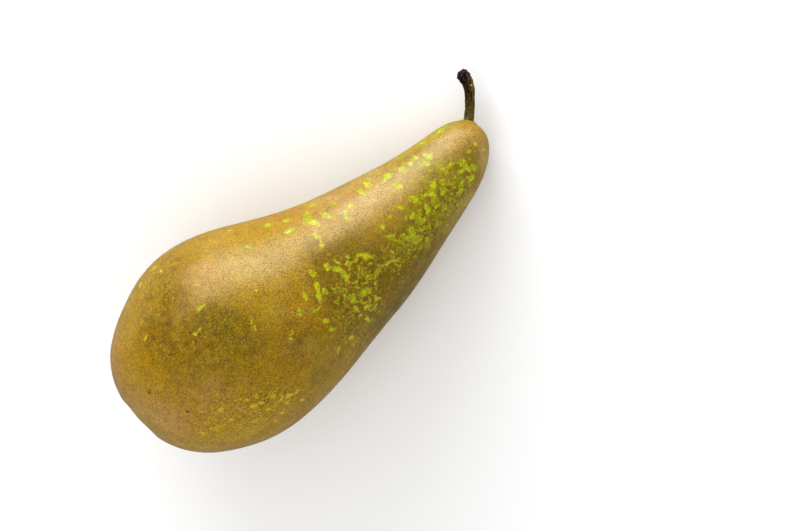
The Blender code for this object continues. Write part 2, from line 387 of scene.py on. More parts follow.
stemShape = {
    # its middle line and radius, mm, in the pear's own frame, from inside the neck to the broken end
    "line": [
        (123.9, -0.9, -0.9, 1.36),
        (126.3, 1.4, -0.6, 1.44),
        (128.8, 3.7, -0.3, 1.40),
        (130.6, 5.6, 0.0, 1.42),
        (132.1, 7.3, 0.3, 1.50),
        (133.1, 9.1, 0.7, 1.62),
        (133.6, 10.9, 1.1, 1.80),
        (133.8, 12.2, 1.3, 1.78),
    ],
    "foot": 1,  # the point of the line where it leaves the skin
    "voxel": 0.11,  # mm
    # knobs on the broken end: degrees round the stem, mm off its middle, mm along it, radius in mm
    "knobs": [
        (10, 1.20, -0.1, 0.68), (62, 1.3, -0.4, 0.62), (118, 1.20, -0.05, 0.66), (170, 1.05, -0.35, 0.62),
        (222, 1.15, 0.0, 0.60), (275, 1.3, -0.4, 0.70), (322, 1.25, -0.1, 0.64), (0, 0.0, -0.45, 1.62),
        (80, 0.65, 0.50, 0.52), (185, 0.75, 0.75, 0.52), (320, 0.65, 0.65, 0.50), (180, 1.25, 0.35, 0.50),
        (40, 1.55, -1.5, 0.48), (165, 1.40, -1.3, 0.45), (95, 1.5, -2.1, 0.44), (250, 1.55, -1.3, 0.48),
    ],
    "bead": (120, 1.42, -4.0, 0.28),  # the pale one
    "furrows": 0.22,
    "furrowSize": (0.6, 5),  # mm across and along the stem
    "slant": 0.9,  # mm that the stem runs on along the fruit for each mm sideways
    "barkLumps": (0.08, 0.24),  # in the middle and at the broken end
    "barkLumpSize": 0.7,
    # how far sideways each part begins or ends, and is there in full, mm
    "endFrom": (9, 11.5),
    "lowUntil": (3.0, 7.0),
    "footUntil": (1.6, 3.0),
}


def stemPoint(index):
    return Vector(stemShape["line"][index][:3]) * mm


def stemFootAndWay():
    foot = stemShape["foot"]
    return stemPoint(foot), (stemPoint(foot + 1) - stemPoint(foot)).normalized()


def onStemEnd(turn, off, along):  # a place near the broken end, in the pear's own frame
    end = stemPoint(-1)
    way = (end - stemPoint(-3)).normalized()
    if along < -1:
        end, way = end + way * (along + 1) * mm * 0.9, (stemPoint(-2) - stemPoint(-4)).normalized()
        along = -1
    across = Vector((0, 0, 1)).cross(way).normalized()
    above = way.cross(across)
    angle = math.radians(turn)
    return end + way * along * mm + (across * math.cos(angle) + above * math.sin(angle)) * off * mm


def layDown(piece):
    piece.matrix_world = ownToFrame
    applyPlace(piece)


def drawStem():
    deselectAll()
    bpy.ops.curve.primitive_bezier_curve_add()
    stem = bpy.context.object
    spline = stem.data.splines[0]
    spline.bezier_points.add(len(stemShape["line"]) - 2)
    for point, (x, y, z, radius) in zip(spline.bezier_points, stemShape["line"]):
        point.co = Vector((x, y, z)) * mm
        point.radius = radius
        point.handle_left_type = point.handle_right_type = "AUTO"
    spline.resolution_u = 10
    stem.data.bevel_depth = mm
    stem.data.bevel_resolution = 6
    stem.data.use_fill_caps = True
    bpy.ops.object.convert(target="MESH")
    return namePiece("pearStem")


def buildStem():
    parts = [drawStem()]
    for turn, off, along, radius in stemShape["knobs"] + [stemShape["bead"]]:
        deselectAll()
        place = onStemEnd(turn, off, along)
        bpy.ops.mesh.primitive_ico_sphere_add(subdivisions=3, radius=radius * mm, location=place)
        parts.append(namePiece("knob"))
        applyPlace(parts[-1])
    selectOnly(*parts)
    bpy.ops.object.join()
    stem = bpy.context.object
    layDown(stem)
    useModifier(stem, "REMESH", mode="VOXEL", voxel_size=stemShape["voxel"] * mm)
    useModifier(stem, "SMOOTH", factor=0.5, iterations=3)
    liftSurface(stem, barkLift)
    return stem


def barkLift(own):  # mm that furrows and lumps lift the bark
    own = own / mm
    smooth, rough = stemShape["barkLumps"]
    across, along = stemShape["furrowSize"]
    drawnOut = Vector(((own.x - stemShape["slant"] * own.y) / across, own.y / along, own.z / across))
    height = smooth + (rough - smooth) * ramp(own.y, *stemShape["endFrom"])
    lift = noise.noise(drawnOut) * stemShape["furrows"]
    return lift + (noise.noise(own / stemShape["barkLumpSize"]) - 0.1) * height


stemLook = {
    "grain": (0.28, 2.2),  # mm and strength
    "blotches": (1.3, 1.6),
    "flecks": (0.9, 0.30, 0.8),  # mm apart, size, softness
    "glints": (0.62, 0.42, 0.9),
    "streaks": (0, 0.4, 3.0, 0.5, 0.5, 0.66, 0.0, 0.65),  # as uneven takes it
    "roughness": (0.45, 0.3),
    "specular": 0.2,
    "bump": (0.6, 0.12),  # strength, mm
    "bark": (0.011, 0.006, 0.002),
    "end": (0.007, 0.003, 0.003),
    "glint": (0.32, 0.14, 0.12),
    "edge": (0.14, 0.062, 0.007),  # painted light: lighter reddish brown down the side that is on the right in the picture, where the light falls
    "low": (0.050, 0.038, 0.003),
    "foot": (0.14, 0.17, 0.015),
    "streak": (0.16, 0.085, 0.009),
    "fleck": (0.42, 0.33, 0.10),
    "bead": (0.55, 0.30, 0.20),
}


def paintStem(stem):
    own = np.array([frameToOwn @ vertex.co for vertex in stem.data.vertices]) / mm
    normals = np.array([vertex.normal for vertex in stem.data.vertices])
    addField(stem, "end", ramp(own[:, 1], *stemShape["endFrom"]))
    addField(stem, "low", 1 - ramp(own[:, 1], *stemShape["lowUntil"]))
    rightwards = normals @ np.array(pictureRight)
    footPart = 1 - ramp(own[:, 1], *stemShape["footUntil"])
    addField(stem, "foot", footPart * (0.25 + 0.75 * ramp(-rightwards, -0.2, 0.6)))
    # painted light: the side whose normals face right in the picture is painted lighter, more so towards the
    # broken end
    addField(stem, "edge", ramp(rightwards, 0.1, 0.8) * (0.6 + 0.4 * ramp(own[:, 1], 5.5, 8.0)))
    bead = np.array(onStemEnd(*stemShape["bead"][:3])) / mm
    addField(stem, "bead", 1 - ramp(np.linalg.norm(own - bead, axis=1), 0.2, 0.5))


def makeBark():
    material, tree, shader = newMaterial("stemBark")
    own = ownPlace(tree)
    tone = mottle(tree, own, stemLook["grain"], stemLook["blotches"])
    colour = tint(stemLook["bark"])
    # the edge colour is painted light on the stem's right side
    for name in ("low", "foot", "edge", "end"):
        colour = cover(tree, colour, field(tree, name), stemLook[name])
    colour = toned(tree, colour, tone)
    alongStem = {"Vector": own, "Rotation": (0, 0, math.radians(-45)), "Scale": (1, 5, 1)}
    drawnOut = addNode(tree, "Mapping", alongStem, vector_type="TEXTURE").outputs["Vector"]
    streaks = uneven(tree, drawnOut, stemLook["streaks"])
    streaks = times(tree, streaks, maths(tree, "SUBTRACT", 1.0, field(tree, "end")))
    colour = cover(tree, colour, streaks, stemLook["streak"])
    flecks = dots(tree, own, stemLook["flecks"])
    flecks = times(tree, flecks, timesPlus(tree, field(tree, "low"), 0.5, 0.25))
    colour = cover(tree, colour, flecks, stemLook["fleck"])
    glints = dots(tree, shift(tree, own, 0.03), stemLook["glints"])
    glints = times(tree, glints, times(tree, field(tree, "end"), 0.75))
    colour = cover(tree, colour, glints, stemLook["glint"])
    colour = cover(tree, colour, field(tree, "bead"), stemLook["bead"])
    rough = stretch(tree, tone["Height"], 0.3, 0.7, *stemLook["roughness"])
    coat(tree, shader, stemLook, colour, rough, tone["Height"])
    return material


# Fruit: the whole skin, from the floor of the eye to the tip of the neck

fruitShape = {
    "sides": 36,
    "floor": 7.0,  # mm, where the eye is deepest
    # distance along the fruit and radius, mm
    "outline": [
        (6.8, 1.9), (5.2, 3.1), (3.2, 3.8), (1.6, 4.6), (0.2, 5.9), (-0.5, 7.4), (-0.2, 8.9), (0.5, 11.2),
        (2.1, 14.7), (5.7, 19.5), (11.0, 23.5), (17.5, 27.0), (21.5, 28.6), (25.5, 29.9), (30.0, 30.7),
        (34.5, 31.0), (39.0, 30.8), (43.5, 30.1), (47.8, 29.2), (52.0, 28.0), (56.5, 26.5), (61.0, 24.8),
        (65.5, 23.3), (70.0, 21.9), (75.0, 20.6), (80.0, 19.3), (85.0, 18.0), (90.0, 16.6), (95.0, 15.2),
        (100.0, 13.8), (104.5, 12.7), (109.0, 11.7), (112.5, 11.0), (116.0, 10.2), (121.0, 8.5),
        (124.6, 6.2), (126.8, 3.5),
    ],
    "tip": 127.5,
    # how far the middle lies to the side at a distance along the fruit, mm
    "drift": [
        (-0.5, 3.2), (6.0, 3.1), (17.0, 2.6), (35.0, 2.3), (45.0, 1.3), (55.0, -0.4), (65.0, -2.4),
        (75.0, -4.0), (86.0, -4.8), (103.0, -4.9), (115.0, -4.2), (127.5, -2.5),
    ],
    "socket": 2.6,  # mm, round the stem, where the skin isn't held to the solid
    "lumpSize": 13.0,
    "lumps": 0.22,
    "folds": 9,  # round the eye
    "foldRadius": 4.6,
    "foldWidth": 1.4,
    "foldHeight": 0.4,
    "foldsUntil": 14,  # mm along the fruit
    "lipFrom": 100,
    "lipHeight": 0.28,  # of the skin round the stem's foot
    "lipRadius": 1.9,
}


def middleAt(along):  # mm in, metres out
    distances, sideways = zip(*fruitShape["drift"])
    return Vector((along, float(np.interp(along, distances, sideways)), 0)) * mm


def drawRings(name, sides, rings, middleOf, fill="NOTHING"):  # and stays in edit mode
    along, radius = rings[0]
    middle = middleOf(along)
    piece = openRing(name, sides, radius, middle, fill)
    for along, nextRadius in rings[1:]:
        nextMiddle, grow = middleOf(along), nextRadius / radius
        bpy.ops.mesh.extrude_edges_move(TRANSFORM_OT_translate={"value": nextMiddle - middle})
        bpy.ops.transform.resize(value=(1, grow, grow), center_override=nextMiddle)
        middle, radius = nextMiddle, nextRadius
    return piece


def drawFruit():
    rings = fruitShape["outline"]
    fruit = drawRings("pearFruit", fruitShape["sides"], rings, middleAt)
    toTip = middleAt(fruitShape["tip"]) - middleAt(rings[-1][0])
    bpy.ops.mesh.extrude_edges_move(TRANSFORM_OT_translate={"value": toTip})
    bpy.ops.mesh.merge(type="CENTER")
    closeEyeFloor(fruit)
    closePiece()
    return fruit


def closeEyeFloor(fruit):
    along, radius = fruitShape["outline"][0]
    middle = middleAt(along)
    pickVertices(fruit, lambda place: (place - middle).length < (radius + 0.1) * mm)
    bpy.ops.mesh.edge_face_add()
    bpy.ops.mesh.poke()
    pickVertices(fruit, lambda place: (place - middle).length < 0.5 * radius * mm)
    bpy.ops.transform.translate(value=middleAt(fruitShape["floor"]) - middle)


def offStem(own):  # how far a place is from the line on which the stem leaves the neck
    foot, way = stemFootAndWay()
    away = own - foot
    return (away - way * away.dot(way)).length


def holdToSolid(fruit):
    def share(place):
        return float(ramp(offStem(frameToOwn @ place) / mm, fruitShape["socket"], fruitShape["socket"] + 0.8))
    group = weightBy(fruit, "held", share)
    useModifier(fruit, "SHRINKWRAP", target=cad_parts["fruit"], vertex_group=group)
    useModifier(fruit, "SMOOTH", factor=0.4, iterations=2)


def foldOfEye(own):  # mm that the folds of the eye lift the skin
    middle = middleAt(0)
    side, up = own.y - middle.y, own.z
    bent = math.atan2(side, up) + 0.5 * noise.noise(own / (4.5 * mm))
    ridge = math.cos(fruitShape["folds"] * bent) - 0.5
    uneven = 0.8 + 0.9 * noise.noise(own / (5 * mm))
    near = bell(math.hypot(side, up) / mm - fruitShape["foldRadius"], fruitShape["foldWidth"])
    return fruitShape["foldHeight"] * ridge * uneven * near


def lipOfSocket(own):  # mm that the skin rises round the stem's foot
    uneven = 0.8 + 0.5 * noise.noise(own / (1.6 * mm))
    return fruitShape["lipHeight"] * uneven * bell(offStem(own) / mm - fruitShape["lipRadius"], 0.55)


def skinLift(own):
    if own.x < fruitShape["foldsUntil"] * mm:
        return foldOfEye(own)
    if own.x > fruitShape["lipFrom"] * mm:
        return lipOfSocket(own)
    return 0.0


def buildFruit():
    fruit = drawFruit()
    subdivide(fruit, 1)
    layDown(fruit)
    holdToSolid(fruit)
    subdivide(fruit, 2)
    lumps(fruit, "skinLumps", fruitShape["lumpSize"], fruitShape["lumps"], 0.7)
    liftSurface(fruit, skinLift)
    for vertex in fruit.data.vertices:
        vertex.co.z = max(vertex.co.z, 0.0)
    return fruit


# What is painted on the skin, where the photograph shows it: x and y are its pixels
skinMarks = {
    # x, y, spread in mm, strength
    "orange": [
        (187, 283, 6, 0.7), (170, 310, 6, 0.5), (147, 347, 6, 0.7), (303, 302, 5, 0.6), (286, 298, 7, 0.3),
        (178, 436, 6, 0.8), (160, 425, 5, 0.5), (340, 200, 6, 0.4), (300, 215, 6, 0.3), (128, 375, 5, 0.5),
        (163, 400, 5, 0.4), (190, 248, 6, 0.4), (322, 318, 6, 0.4), (420, 152, 5, 0.3),
    ],
    "olive": [
        (197, 325, 5, 0.8), (222, 317, 6, 0.8), (245, 345, 7, 0.7), (215, 390, 8, 0.3), (317, 246, 4, 0.7),
        (350, 232, 4, 0.8), (385, 215, 4, 0.6), (335, 250, 5, 0.6), (315, 262, 5, 0.4), (375, 245, 6, 0.6),
        (440, 225, 8, 0.8), (400, 285, 9, 0.8), (350, 268, 8, 0.5), (420, 250, 7, 0.7), (350, 330, 7, 0.5),
        (455, 190, 7, 0.7), (280, 262, 5, 0.3), (165, 355, 6, 0.4), (302, 396, 6, 0.35), (322, 372, 6, 0.3),
        (347, 250, 4, 0.4), (468, 160, 5, 0.6), (175, 345, 7, 0.4), (450, 205, 6, 0.5), (370, 325, 6, 0.5),
        (330, 365, 6, 0.3), (262, 396, 6, 0.5),
    ],
    "brown": [
        (292, 342, 5, 0.7), (310, 335, 5, 0.2), (400, 300, 7, 0.7), (330, 285, 6, 0.4), (425, 265, 5, 0.6),
        (215, 330, 4, 0.3), (350, 300, 6, 0.3), (285, 298, 6, 0.3), (475, 142, 5, 0.3), (190, 300, 6, 0.6),
        (173, 325, 6, 0.5), (203, 347, 7, 0.6), (232, 338, 5, 0.25), (150, 338, 6, 0.4), (327, 274, 4, 0.3),
        (160, 292, 8, 0.7), (175, 262, 7, 0.5), (150, 315, 6, 0.4), (152, 350, 6, 0.25),
        (202, 368, 7, 0.35), (178, 374, 6, 0.3), (463, 192, 3.5, 0.9), (380, 280, 6, 0.4),
        (300, 355, 6, 0.3),
    ],
    # tan: partly the skin's own colour, partly painted reflection along the left rim, the tip and the top of
    # the neck
    "tanAndRimReflection": [
        (113, 345, 4, 0.8), (116, 370, 4, 0.6), (122, 395, 6, 0.7), (145, 402, 7, 0.6), (172, 415, 7, 0.3),
        (472, 133, 5, 0.4), (460, 150, 5, 0.3), (395, 195, 7, 0.3), (480, 160, 4, 0.5), (330, 225, 8, 0.2),
        (177, 426, 6, 0.6), (198, 420, 7, 0.4), (218, 404, 7, 0.3), (240, 406, 7, 0.3), (195, 400, 6, 0.25),
        (345, 197, 4, 0.5), (310, 207, 5, 0.4), (285, 214, 5, 0.4), (370, 182, 4, 0.4), (398, 162, 4, 0.4),
    ],
    # beige marks: painted sheen along the lit ridge of the neck and beside the belly's highlight, painted
    # reflection at the tip and the rims, and painted light low on the left
    "paintedSheen": [
        (470, 140, 5, 0.3), (484, 155, 3, 0.7), (455, 135, 5, 0.3), (466, 200, 3, 0.6), (450, 225, 3, 0.5),
        (400, 185, 7, 0.5), (440, 155, 6, 0.5), (235, 265, 8, 0.1), (350, 215, 7, 0.4), (150, 410, 6, 0.3),
        (425, 170, 7, 0.5), (375, 200, 6, 0.4), (340, 194, 4, 0.5), (362, 180, 4, 0.5), (322, 201, 4, 0.4),
        (382, 170, 4, 0.4), (485, 165, 3, 0.7), (264, 270, 5, 0.4), (286, 266, 5, 0.35), (165, 415, 5, 0.3),
        (173, 429, 5, 0.3),
    ],
    "green": [
        (446, 126, 3, 0.7), (433, 134, 3, 0.7), (419, 143, 3, 0.6), (405, 152, 3, 0.5), (392, 160, 3, 0.3),
        (430, 215, 6, 0.3), (445, 203, 6, 0.25), (460, 185, 6, 0.2), (464, 203, 3, 0.4), (452, 220, 4, 0.3),
        (425, 185, 6, 0.15),
    ],
    # dark olive: partly the skin's own colour, partly painted shade down the right flank and the lower neck
    "darkOliveAndShade": [
        (398, 303, 5, 0.9), (383, 323, 5, 0.7), (413, 280, 5, 0.7), (430, 255, 4, 0.5), (365, 345, 6, 0.4),
        (228, 322, 7, 0.45), (202, 322, 3, 0.5), (440, 232, 5, 0.4), (320, 280, 5, 0.3),
    ],
    # where the lime shows through in specks
    "lime": [
        (352, 265, 5, 0.8), (368, 268, 5, 0.8), (364, 292, 6, 0.9), (335, 290, 5, 0.7), (372, 310, 5, 0.6),
        (345, 310, 5, 0.5), (415, 236, 6, 0.9), (418, 215, 5, 0.8), (435, 190, 6, 0.9), (466, 168, 6, 1.0),
        (460, 190, 5, 0.8), (428, 158, 5, 0.8), (405, 165, 5, 0.7), (388, 180, 4, 0.6), (345, 212, 5, 0.3),
        (445, 130, 4, 0.5), (395, 260, 6, 0.6), (440, 210, 6, 0.7), (330, 325, 6, 0.3), (476, 146, 3, 0.5),
        (392, 245, 5, 0.5), (430, 240, 5, 0.5), (405, 270, 5, 0.4), (385, 305, 5, 0.4), (372, 322, 5, 0.35),
        (352, 330, 6, 0.3), (340, 345, 6, 0.25), (450, 222, 4, 0.5),
    ],
    # where it shines through without an edge
    "haze": [
        (430, 205, 7, 0.7), (455, 185, 6, 0.7), (440, 165, 5, 0.3), (412, 232, 6, 0.7), (446, 222, 5, 0.8),
        (405, 250, 5, 0.4), (466, 165, 4, 0.6), (425, 245, 5, 0.5),
    ],
    # thin curls, most of them low on the belly
    "curls": [
        (220, 410, 9, 0.9), (270, 400, 9, 1.0), (205, 435, 8, 0.9), (240, 430, 8, 0.8), (160, 370, 7, 0.5),
        (145, 300, 6, 0.5), (330, 320, 8, 0.6), (352, 338, 8, 0.8), (210, 340, 7, 0.5), (150, 275, 6, 0.5),
    ],
}

# Lime patches that stand alone: x, y, length and width in pixels, degrees from the picture's right
limePatches = {
    "upper edge": [
        (267.5, 225, 6.5, 6, 0), (286.5, 220.5, 8, 5, 35), (289, 231, 11, 5, 25), (307, 217, 13, 8, 100),
        (311, 222, 15, 7, -15), (326, 215.5, 13, 6, -25), (345, 212.5, 6.5, 5.5, 0), (347, 219, 5.5, 5, 0),
        (350.5, 206, 5.5, 4, 90), (311, 205.5, 8, 3.5, 10), (334, 203.5, 5.5, 4, 0),
        (361.5, 192.5, 13, 5, -30), (367, 184, 10, 5.5, -60), (369.5, 186, 5, 3.5, 40),
        (230, 230.5, 6, 2.5, 10), (248.5, 247, 5, 3.5, 0), (255.5, 290.5, 5, 2, 0),
        (317, 236, 11, 4.5, -40), (321.5, 245, 9, 4.5, -80),
    ],
    "flank": [
        (313, 273, 9, 4.5, -45), (317, 285.5, 9, 5.5, -70), (319.5, 297, 11, 5.5, -85),
        (305, 296.5, 9, 4, -60), (325, 291, 6, 5, 60), (334, 289, 4, 3, 0), (336, 302, 5, 4, 60),
        (299.5, 312, 9, 4.5, -80), (315.5, 310.5, 13, 3, 35), (325.5, 321, 8, 5, 10),
        (326.5, 266.5, 9, 5, -70), (337, 269.5, 12, 5, -20), (345, 276, 9, 6, -60),
        (336.5, 262, 8, 2.5, -60), (350, 263, 14, 3, 30), (366.5, 257.5, 9, 6, -60), (361, 254.5, 8, 3, 30),
        (378, 270, 9, 4, 40), (388, 263, 14, 4, 25), (368, 277, 9, 4, 40), (352, 298, 9, 8, 45),
        (365.5, 292, 13, 8.5, 15), (377.5, 298, 9, 4, -20), (366.5, 306.5, 7, 4.5, 0),
        (374, 308, 9, 3.5, 60), (357, 309, 11, 4, -55), (368, 320.5, 10, 4, -60), (338.5, 350, 8, 3.5, 70),
        (331, 329.5, 5, 3.5, 70), (352, 337.5, 6, 3, 20),
    ],
    "neck": [
        (383, 227, 5, 5, 0), (390, 236, 9, 4, 0), (409, 238, 12, 9, 0), (417, 240, 12, 9, 40),
        (411, 231, 9, 6, 60), (427.5, 156, 13, 6.5, -20), (414, 158.5, 6, 6, 0),
        (402.5, 169.5, 10, 5.5, -20), (410, 163, 6.5, 5, 0), (424.5, 164, 11, 5, 0),
        (440.5, 167.5, 9, 6.5, -10), (447, 171.5, 4, 3.5, 0), (388.5, 176, 9, 7, 45),
        (384, 180.5, 7, 4, 50), (397.5, 185.5, 11, 5, -15), (414, 199.5, 11, 7.5, -10),
        (399.5, 206, 9, 5, -20), (389.5, 217, 5, 4, 0), (382.5, 226.5, 5, 5, 0), (412.5, 216, 9, 5, 85),
        (428, 209.5, 9, 5, -75), (421.5, 221, 9, 7, 30), (433, 186, 9, 7, 60), (432, 193.5, 8, 6, 0),
        (443, 182, 9, 5.5, 20), (443.5, 191.5, 8, 5.5, 60), (433, 199.5, 7, 6, 0), (444, 208, 8, 5, 60),
        (463, 163, 11, 7, -10), (471, 169, 13, 8, 20), (471, 178, 9, 6, 60), (461.5, 184, 8, 5, 60),
        (460.5, 191, 9, 5, 70),
    ],
    "tip": [
        (452, 163.5, 5, 4, 0), (475, 144, 7, 4, -20), (483.5, 150, 4.5, 4, 0), (468.5, 151.5, 3.5, 3, 0),
        (420.5, 144.5, 9, 3.5, 30), (401.5, 157, 9, 3, 30), (441.5, 130, 11, 4.5, 35),
    ],
    "belly": [
        (199, 309, 6, 5, 30), (204, 305.5, 5.5, 3, 35), (252, 320, 8, 3, 75), (254.5, 328.5, 7, 3, -70),
        (195, 334.5, 5, 4, 60), (200, 329.5, 4.5, 3, 50),
    ],
}

# Yellow flecks, in the same terms
yellowPatches = {
    "left edge": [
        (145, 338.5, 7, 3, 60), (154, 268, 7, 3, 30), (161, 271, 5, 2.5, 20), (140, 285.5, 6, 2.5, 60),
    ],
    "low": [
        (254, 406, 8, 4, 20), (261, 403, 5, 3, 0), (290, 395, 9, 4, 20), (297, 392, 6, 3, 40),
        (202.5, 433, 6, 3, 0), (282, 413, 6, 3, 20), (291.5, 335, 9, 3, 80), (221, 409.5, 7, 3, 30),
        (213, 428, 5, 2.5, 40), (281, 399, 6, 4, 70), (273, 396, 5, 3, -30), (287, 403, 5, 3, 60),
        (247, 400, 5, 3, 50), (240, 409, 6, 2.5, -20), (268, 409, 5, 2.5, 60), (302, 400, 6, 2.5, 10),
        (256, 397, 4, 2.5, 80), (255, 421, 5, 2.5, 30), (231, 420, 5, 2.5, 60), (201, 412, 4, 2.5, 20),
        (276, 421, 5, 2.5, 10),
    ],
}

# Small dark scabs: x, y, width in pixels
scabs = [
    (168, 323, 4.5), (153, 337, 4.5), (190.5, 332, 3.5), (199, 334, 3), (149.5, 392, 4.5),
    (187.5, 411.5, 4.5), (228, 310, 3), (343.5, 262, 3.5), (187, 343, 3.5), (196, 341, 3.5),
    (216, 334, 3.5), (171, 354.5, 3.5),
]


def seenAt(skin, x, y):  # the place on the skin that the photograph shows at a pixel
    right = (x - photo["width"] / 2) * pixel
    up = (photo["height"] / 2 - y) * pixel
    target = pictureAim + pictureRight * right + pictureUp * up
    found, place, normal, face = skin.ray_cast(cameraPlace, (target - cameraPlace).normalized())
    return np.array(place if found else target)


def patchShare(skin, grid, x, y, length, width, turn):  # 1 in the middle of a patch, 0.5 at its edge
    away = (grid - seenAt(skin, x, y)) / pixel
    angle = math.radians(turn)
    lengthWay = pictureRight * math.cos(angle) + pictureUp * math.sin(angle)
    widthWay = pictureUp * math.cos(angle) - pictureRight * math.sin(angle)
    reach = np.square(away @ np.array(lengthWay) / (length / 2))
    reach += np.square(away @ np.array(widthWay) / (width / 2))
    reach += np.square(away @ np.array(toCamera) / (0.4 * (length + width)))
    return np.clip(1 - 0.5 * np.sqrt(reach), 0, 1)


def addPatches(skin, grid, values, groups):
    for patches in groups.values():
        for patch in patches:
            values = np.maximum(values, patchShare(skin, grid, *patch))
    return values


def hiddenLime(fruit, ownPlaces):  # the lime on the sides that the photograph doesn't show
    drift = [noise.noise(own / 15 + Vector((7, 3, 1))) + 0.4 * noise.noise(own / 5) for own in ownPlaces]
    own = np.array(ownPlaces)
    towardsNeck = 0.3 * ramp(own[:, 0], 20, 90)
    shown = ramp(own[:, 2], -8, 2)
    return ramp(np.array(drift), 0.32 - towardsNeck, 0.75 - towardsNeck) * (1 - shown)


def paintFruit(fruit):
    grid = places(fruit)
    ownPlaces = [(frameToOwn @ vertex.co) / mm for vertex in fruit.data.vertices]
    for name, marks in skinMarks.items():
        values = np.zeros(len(grid))
        for x, y, spread, strength in marks:
            distance = np.linalg.norm(grid - seenAt(fruit, x, y), axis=1)
            values += strength * bell(distance / mm, spread)
        if name == "lime":
            values = np.clip(values + hiddenLime(fruit, ownPlaces), 0, 1)
            addField(fruit, "limeNear", values)
            values = values * skinLook["limeSpecks"]
            values = addPatches(fruit, grid, values, limePatches)
        elif name == "curls":
            values = addPatches(fruit, grid, 0.3 * np.clip(values, 0, 1), yellowPatches)
        addField(fruit, name, np.clip(values, 0, 1.2))
    scabField = np.zeros(len(grid))
    for x, y, width in scabs:
        scabField = np.maximum(scabField, patchShare(fruit, grid, x, y, width, width, 0))
    addField(fruit, "scabs", scabField)
    own = np.array(ownPlaces)
    addField(fruit, "hidden", 1 - ramp(own[:, 2], -6, 6))
    offEye = np.hypot(own[:, 1] - middleAt(0).y / mm, own[:, 2])
    addField(fruit, "eye", (1 - ramp(offEye, 4.5, 10.5)) * (own[:, 0] < 12))


skinLook = {
    "grain": (0.36, 1.9),  # mm and strength
    "blotches": (3.0, 0.6),
    # colour, then as uneven takes it
    "specks": [
        ("freckle", 0.013, 0.55, 3.0, 0.6, 0.54, 0.66, 0.0, 0.6),
        ("shade", 0.026, 0.6, 3.0, 0.6, 0.53, 0.68, 0.0, 0.65),
        ("freckle", 0.039, 1.4, 3.0, 0.6, 0.55, 0.7, 0.0, 0.35),
    ],
    "ragged": (0, 2.5, 3.0, 0.5, 0.3, 0.7, 0.5, 1.25),  # so that no mark is even
    "cracked": (0.11, 0.8, 4.0, 0.65, 0.53, 0.6, 0.0, 0.8),
    "shady": (0.09, 2.0, 3.0, 0.5, 0.35, 0.6, 0.45, 1.0),
    "hazy": (0.15, 2.2, 4.0, 0.6, 0.45, 0.62, 0.0, 0.6),
    "deep": (0.04, 1.3, 3.0, 0.5, 0.4, 0.6, 0.0, 0.8),
    "sparse": (0.05, 2.2, 2.0, 0.5, 0.5, 0.56, 0.0, 1.0),
    "rough": (0, 5, 3.0, 0.5, 0.3, 0.7, 0.28, 0.40),
    "pores": (0.9, 0.34, 0.6),  # mm apart, size, softness
    "bigPores": (2.1, 0.21, 0.6),
    "limeSpecks": 0.41,  # how readily lime shows between the patches
    "limeEdge": (1.25, 1.6, 0.09),  # mm, how torn, how soft
    "curlEdge": (0.7, 2.3, 0.07),
    "specular": 0.45,
    "glossTint": (1.0, 0.87, 0.68),
    "bump": (0.45, 0.07),  # strength, mm
    "golden": (0.335, 0.187, 0.001),
    "orange": (0.370, 0.178, 0.001),
    "olive": (0.165, 0.102, 0.0005),
    "brown": (0.170, 0.090, 0.001),
    # tan, partly a painted rim reflection
    "tanAndRimReflection": (0.395, 0.182, 0.035),
    # beige of the painted sheen and painted reflection
    "paintedSheen": (0.42, 0.288, 0.095),
    "green": (0.38, 0.34, 0.03),
    # dark olive, partly painted shade
    "darkOliveAndShade": (0.115, 0.080, 0.0005),
    "border": (0.34, 0.15, 0.004),  # round a lime patch
    "lime": (0.43, 0.445, 0.002),
    "deepLime": (0.24, 0.26, 0.001),
    "yellow": (0.56, 0.42, 0.004),
    "eyeRim": (0.40, 0.215, 0.05),
    "crack": (0.16, 0.075, 0.015),
    "freckle": (0.43, 0.27, 0.002),
    "shade": (0.120, 0.066, 0.001),
    "pore": (0.095, 0.046, 0.004),
    "scab": (0.15, 0.055, 0.008),
}


def skinHues(tree, own):
    colour = tint(skinLook["golden"])
    ragged = uneven(tree, own, skinLook["ragged"])
    # Some of these hues are painted light: the beige is painted sheen and reflection, the tan is partly a
    # painted rim reflection, and the dark olive is partly painted shade
    for step, name in enumerate(("orange", "olive", "brown", "tanAndRimReflection", "paintedSheen", "green", "darkOliveAndShade")):
        drifting = stretch(tree, cloud(tree, shift(tree, own, 0.07 * (step + 1)), 14 - step, 4.0), 0.52, 0.72)
        hidden = timesPlus(tree, field(tree, "hidden"), 0.45, 0.18)
        share = timesPlus(tree, field(tree, name), ragged, times(tree, drifting, hidden))
        colour = cover(tree, colour, maths(tree, "MINIMUM", share, 1.0), skinLook[name])
    rim = times(tree, field(tree, "eye"), ragged)
    colour = cover(tree, colour, times(tree, rim, 0.75, clamp=True), skinLook["eyeRim"])
    cracks = uneven(tree, own, skinLook["cracked"])
    return cover(tree, colour, times(tree, cracks, rim, clamp=True), skinLook["crack"])


def addGrain(tree, own, colour, tone):
    colour = toned(tree, colour, tone)
    for name, *kind in skinLook["specks"]:
        colour = cover(tree, colour, uneven(tree, own, kind), skinLook[name])
    return colour


